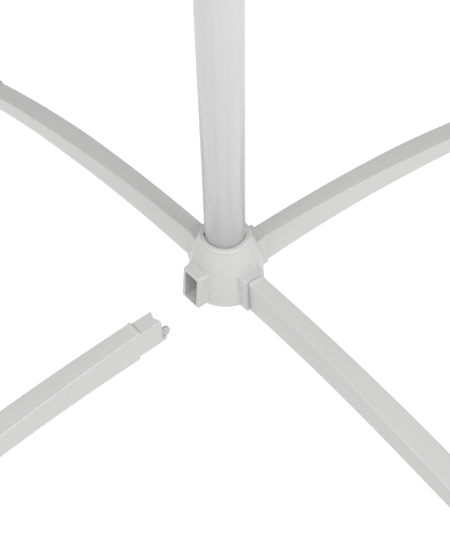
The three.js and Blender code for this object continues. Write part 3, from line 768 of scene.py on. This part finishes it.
def make_ears(pivot, layers):
    """Round-ended ears at a pivot, as separate solids in the +X direction."""
    made = []
    for low, high in layers:
        rings = []
        outline = [(EAR_ROOT, -EAR_RADIUS), (pivot[0], -EAR_RADIUS)]
        outline += arc_points((pivot[0], 0), EAR_RADIUS, -80, 80, 16)
        outline += [(pivot[0], EAR_RADIUS), (EAR_ROOT, EAR_RADIUS)]
        for y in (low, high):
            rings.append([(x, y, pivot[1] + z) for x, z in outline])
        made.append(loft("ear", rings))
    return made


def pin_drill(pivot):
    drill = rod("drill", PIN_HOLE_RADIUS, -0.03, 0.03, 40)
    across = Matrix.Rotation(math.pi / 2, 4, "X")
    drill.data.transform(Matrix.Translation((pivot[0], 0, pivot[1])) @ across)
    return drill


def with_ears(body, pivot, layers):
    """The body with drilled ears on its four sides."""
    ears, drills = [], []
    for index in range(4):
        for ear in make_ears(pivot, layers):
            ear.data.transform(quarter_turn(index))
            ears.append(ear)
        drill = pin_drill(pivot)
        drill.data.transform(quarter_turn(index))
        drills.append(drill)
    combine(body, ears)
    return combine(body, drills, "DIFFERENCE")


def button_place():
    """From the Z axis to the ring button's axis."""
    pivot = Vector(JOINTS["arm_east_fold"]["pos_m"])
    side = Vector(JOINTS["ring_button_pull"]["axis"])
    turn = Vector((0, 0, 1)).rotation_difference(side).to_matrix().to_4x4()
    return Matrix.Translation((0, 0, pivot.z - BUTTON_BELOW_PIVOT)) @ turn


def make_ring():
    """The sliding ring, with a pair of ears for each arm."""
    pivot = Vector(JOINTS["arm_east_fold"]["pos_m"])
    low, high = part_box("slide_ring")
    radius = HEAD_RADIUS
    profile = [(0, low.z), (radius - 1.5 * MM, low.z), (radius, low.z + 1.5 * MM)]
    z = low.z + 22 * MM
    groove = radius - 1 * MM
    profile += [(radius, z - 1 * MM), (groove, z), (groove, z + 1 * MM), (radius, z + 2 * MM)]
    profile += [(radius, high.z - 1.5 * MM), (radius - 1.5 * MM, high.z), (0, high.z)]
    body = lathe("ring", profile, 96)
    near, far = RING_EAR_SIDES
    with_ears(body, (pivot.x, pivot.z), [(-far, -near), (near, far)])
    hole = rod("hole", BUTTON_HOLE_RADIUS, 0, 0.04, 40)
    hole.data.transform(button_place())
    through = rod("through", UPPER_RADIUS + 0.5 * MM, low.z - 0.01, high.z + 0.01, 96)
    combine(body, [hole, through], "DIFFERENCE")
    moulded(body, 0.55 * MM, 3)
    return finish_piece(shade(body), "slide_ring_moulding", "ring", "white_plastic", "slide_ring")


def make_cap():
    """The domed cap on the upper tube, with an ear for each stay."""
    pivot = Vector(JOINTS["stay_east_fold"]["pos_m"])
    low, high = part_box("top_cap")
    radius = HEAD_RADIUS
    seat = UPPER_HIGH.z + CLEAR
    spigot = 14.5 * MM
    profile = [(0, low.z), (13 * MM, low.z), (spigot, low.z + 2 * MM), (spigot, seat)]
    profile += [(radius - 2 * MM, seat), (radius, seat + 3 * MM), (radius, pivot.z + 9 * MM)]
    dome = pivot.z + 20 * MM
    profile += [(CAP_BRIM_RADIUS, pivot.z + 14 * MM), (CAP_BRIM_RADIUS, dome)]
    for i in range(1, 12):
        angle = math.radians(90 * i / 12)
        out = CAP_FLAT_RADIUS + (CAP_BRIM_RADIUS - CAP_FLAT_RADIUS) * math.cos(angle)
        profile.append((out, dome + CAP_DOME_HEIGHT * math.sin(angle)))
    profile += [(CAP_FLAT_RADIUS, high.z), (0, high.z)]
    body = lathe("cap", profile, 96)
    with_ears(body, (pivot.x, pivot.z), [CAP_EAR_SIDES])
    moulded(body, 0.6 * MM, 3)
    return finish_piece(shade(body), "top_cap_moulding", "mast", "white_plastic", "top_cap")


def make_button():
    """The knob on its stem, with finger grooves."""
    knob = lathe("knob", [(r * MM, z * MM) for r, z in BUTTON_STEM + BUTTON_KNOB], 64)
    grooves = []
    for i in range(BUTTON_GROOVES):
        groove = rod("groove", 0.9 * MM, 0.0268, 0.036, 12)
        angle = i / BUTTON_GROOVES * 2 * math.pi
        edge = Vector((math.cos(angle), math.sin(angle), 0)) * 9.2 * MM
        groove.data.transform(Matrix.Translation(edge))
        grooves.append(groove)
    combine(knob, grooves, "DIFFERENCE")
    moulded(knob, 0.3 * MM, 2)
    knob.data.transform(button_place())
    return finish_piece(shade(knob), "ring_button_knob", "ring_button", "grey_plastic", "ring_button")


# ---- CAD nodes that keep their shape ----
# the width of each node's bevel, in millimetres
KEPT = {
    "arm_{}": 1.6,
    "arm_tip_{}": 1.0,
    "stay_{}": 0.7,
    "arm_pin_{}": 0.3,
    "stay_pin_{}": 0.3,
}
SINGLE = {
    "mast_foot_plug": 0.4,
    "spindle_washer": 0.25,
    "spindle_screw": 0.3,
    "collar_screw_front": 0.2,
    "collar_screw_back": 0.2,
}


def dress_kept_nodes():
    slots = {part["node"]: part["material_slot"] for part in frame["record"]["subparts"]}
    widths = {pattern.format(arm): width for pattern, width in KEPT.items() for arm in ARMS}
    widths.update(SINGLE)
    for node, width in widths.items():
        kept = NODES[node]
        for material_slot in kept.material_slots:
            material_slot.material = FINISHES[slots[node]]
        soften(kept, width * MM, 2)
        shade_kept(kept)


def shade_kept(kept):
    for polygon in kept.data.polygons:
        polygon.use_smooth = True
    weighted = kept.modifiers.new("weighted", "WEIGHTED_NORMAL")
    weighted.keep_sharp = True


# ---- the line ----
LINE_RADIUS = 1.75 * MM
LINE_TURNS = 5
LINE_FIRST = 330 * MM  # of the innermost hole, along its arm
LINE_SPACING = 80 * MM
LINE_BEND = 10 * MM  # the line leaves an arm this far to either side of it
OPEN_ANGLE = math.radians(75)  # between an open arm and the mast


def hole_along(turn, arm):
    return LINE_FIRST + (turn + arm / 4) * LINE_SPACING


def on_arm(arm, along, side):
    pivot = Vector(JOINTS["arm_east_fold"]["pos_m"])
    out = pivot.x + along * math.sin(OPEN_ANGLE)
    return quarter_turn(arm) @ Vector((out, side, pivot.z + along * math.cos(OPEN_ANGLE)))


def line_tube(name, points, sides=12):
    """A round tube along points, with domed ends."""
    directions = []
    for i, point in enumerate(points):
        before = points[max(i - 1, 0)]
        after = points[min(i + 1, len(points) - 1)]
        directions.append((after - before).normalized())
    side = directions[0].orthogonal().normalized()
    rings = []
    for i, (point, direction) in enumerate(zip(points, directions)):
        side = (side - direction * side.dot(direction)).normalized()
        other = direction.cross(side)
        ends = ((-1, 0.55), (-0.6, 0.85)) if i == 0 else ()
        stations = [*ends, (0, 1)]
        if i == len(points) - 1:
            stations = [(0, 1), (0.6, 0.85), (1, 0.55)]
        for shift, share in stations:
            centre = point + direction * shift * LINE_RADIUS * 0.8
            angles = [2 * math.pi * k / sides for k in range(sides)]
            round_it = [side * math.cos(a) + other * math.sin(a) for a in angles]
            rings.append([centre + toward * LINE_RADIUS * share for toward in round_it])
    return loft(name, rings)


def joined(name, parts):
    """One object of all the parts, which it uses up."""
    work = bmesh.new()
    for part in parts:
        work.from_mesh(part.data)
        discard(part)
    made = new_object(name, [], [])
    work.to_mesh(made.data)
    work.free()
    return made


def make_line():
    """The line: a short bend through each hole and, from arm to arm, a span in two halves."""
    crossings = [(turn, arm) for turn in range(LINE_TURNS) for arm in range(4)]
    through = {arm: [] for arm in range(4)}
    for turn, arm in crossings:
        along = hole_along(turn, arm)
        points = [on_arm(arm, along, LINE_BEND * (i / 4 - 1)) for i in range(9)]
        through[arm].append(line_tube("through", points))
    for arm, parts in through.items():
        piece = shade(joined("through", parts), 60)
        replaced = ["clothes_line"] if arm == 0 else []
        finish_piece(piece, f"line_through_{ARMS[arm]}", f"arm_{ARMS[arm]}", "line_vinyl", *replaced)
    for number, (crossing, following) in enumerate(zip(crossings, crossings[1:])):
        arm, next_arm = crossing[1], following[1]
        along = hole_along(*crossing)
        ends = [on_arm(arm, along, LINE_BEND), on_arm(next_arm, hole_along(*following), -LINE_BEND)]
        middle = (ends[0] + ends[1]) / 2
        for half, owner in enumerate((arm, next_arm)):
            start = ends[half]
            rest = middle - start
            points = [start + rest * (i / 8) for i in range(9)]
            piece = shade(line_tube("span", points), 60)
            name = f"line_span_{number:02d}_{'ab'[half]}"
            finish_piece(piece, name, f"arm_{ARMS[owner]}", "line_vinyl")
            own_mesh(piece)


def make_knot(node, arm):
    """An overhand knot in the line's end."""
    low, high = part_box(node)
    centre = (low + high) / 2
    size = (high.x - low.x) / 2 - LINE_RADIUS * 0.55
    points = []
    for i in range(49):
        t = 2 * math.pi * i / 48
        width = math.sin(t) + 2 * math.sin(2 * t)
        height = math.cos(t) - 2 * math.cos(2 * t)
        depth = -math.sin(3 * t)
        turned = quarter_turn(arm).to_3x3() @ Vector((height, depth * 1.1, width))
        points.append(centre + turned * size / 3.2)
    piece = shade(line_tube("knot", points[:-3]), 60)
    return finish_piece(piece, f"{node}_cord", f"arm_{ARMS[arm]}", "line_vinyl", node)


# ---- stage and light ----
FLOOR_REACH = 30
FLOOR_BELOW = 0.5 * MM
PAPER_GREY = 0.1
PAPER_GLOW = 0.96
WORLD_LIGHT = 0.38
# (name, place, (width, height), watts); all of them face the hub
SOFT_BOXES = (
    ("front_box", (3.3, -2.7, 4.3), (2, 2), 98),
    ("left_box", (0.42, -4.14, 4.75), (2.3, 2.3), 113),
    ("right_box", (4.14, 0.42, 4.75), (2.3, 2.3), 170),
    ("back_left_box", (-3.3, -2.55, 2), (0.75, 1.6), 27),
    ("back_right_box", (2.78, 3.45, 2), (0.75, 1.6), 34),
)


def make_stage():
    """A bright paper floor under a dim white world."""
    corners = [(x * FLOOR_REACH, y * FLOOR_REACH, 0) for x, y in ((-1, -1), (1, -1), (1, 1), (-1, 1))]
    floor = new_object("floor", corners, [(0, 1, 2, 3)])
    floor.location.z = -FLOOR_BELOW
    paper = bpy.data.materials.new("paper")
    paper.use_nodes = True
    tree = paper.node_tree
    shader = tree.nodes["Principled BSDF"]
    shader.inputs["Base Color"].default_value = (PAPER_GREY, PAPER_GREY, PAPER_GREY, 1)
    shader.inputs["Roughness"].default_value = 0.9
    shader.inputs["Specular IOR Level"].default_value = 0.0
    shader.inputs["Emission Color"].default_value = (1, 1, 1, 1)
    shader.inputs["Emission Strength"].default_value = PAPER_GLOW
    floor.data.materials.append(paper)
    world = bpy.data.worlds.new("studio")
    bpy.context.scene.world = world
    world.use_nodes = True
    background = world.node_tree.nodes["Background"]
    background.inputs["Color"].default_value = (1, 1, 1, 1)
    background.inputs["Strength"].default_value = WORLD_LIGHT


def make_lights():
    for name, place, size, power in SOFT_BOXES:
        light = bpy.data.lights.new(name, "AREA")
        light.shape = "RECTANGLE"
        light.size, light.size_y = size
        light.energy = power
        lamp = bpy.data.objects.new(name, light)
        lamp.location = place
        aim = Vector((0, 0, HUB_Z)) - Vector(place)
        lamp.rotation_euler = aim.to_track_quat("-Z", "Y").to_euler()
        lamp.visible_camera = False
        bpy.context.scene.collection.objects.link(lamp)


scene = bpy.context.scene
scene.view_settings.view_transform = "Standard"
scene.view_settings.look = "None"

make_camera()
make_stage()
make_lights()
make_hub()
make_legs()
make_tube("mast_lower_tube", "mast_lower")
make_tube("mast_upper_tube", "mast_upper", 128)
make_collar_moulding()
make_ring()
make_cap()
make_button()
dress_kept_nodes()
make_line()
make_knot("line_knot_inner", 0)
make_knot("line_knot_outer", 3)
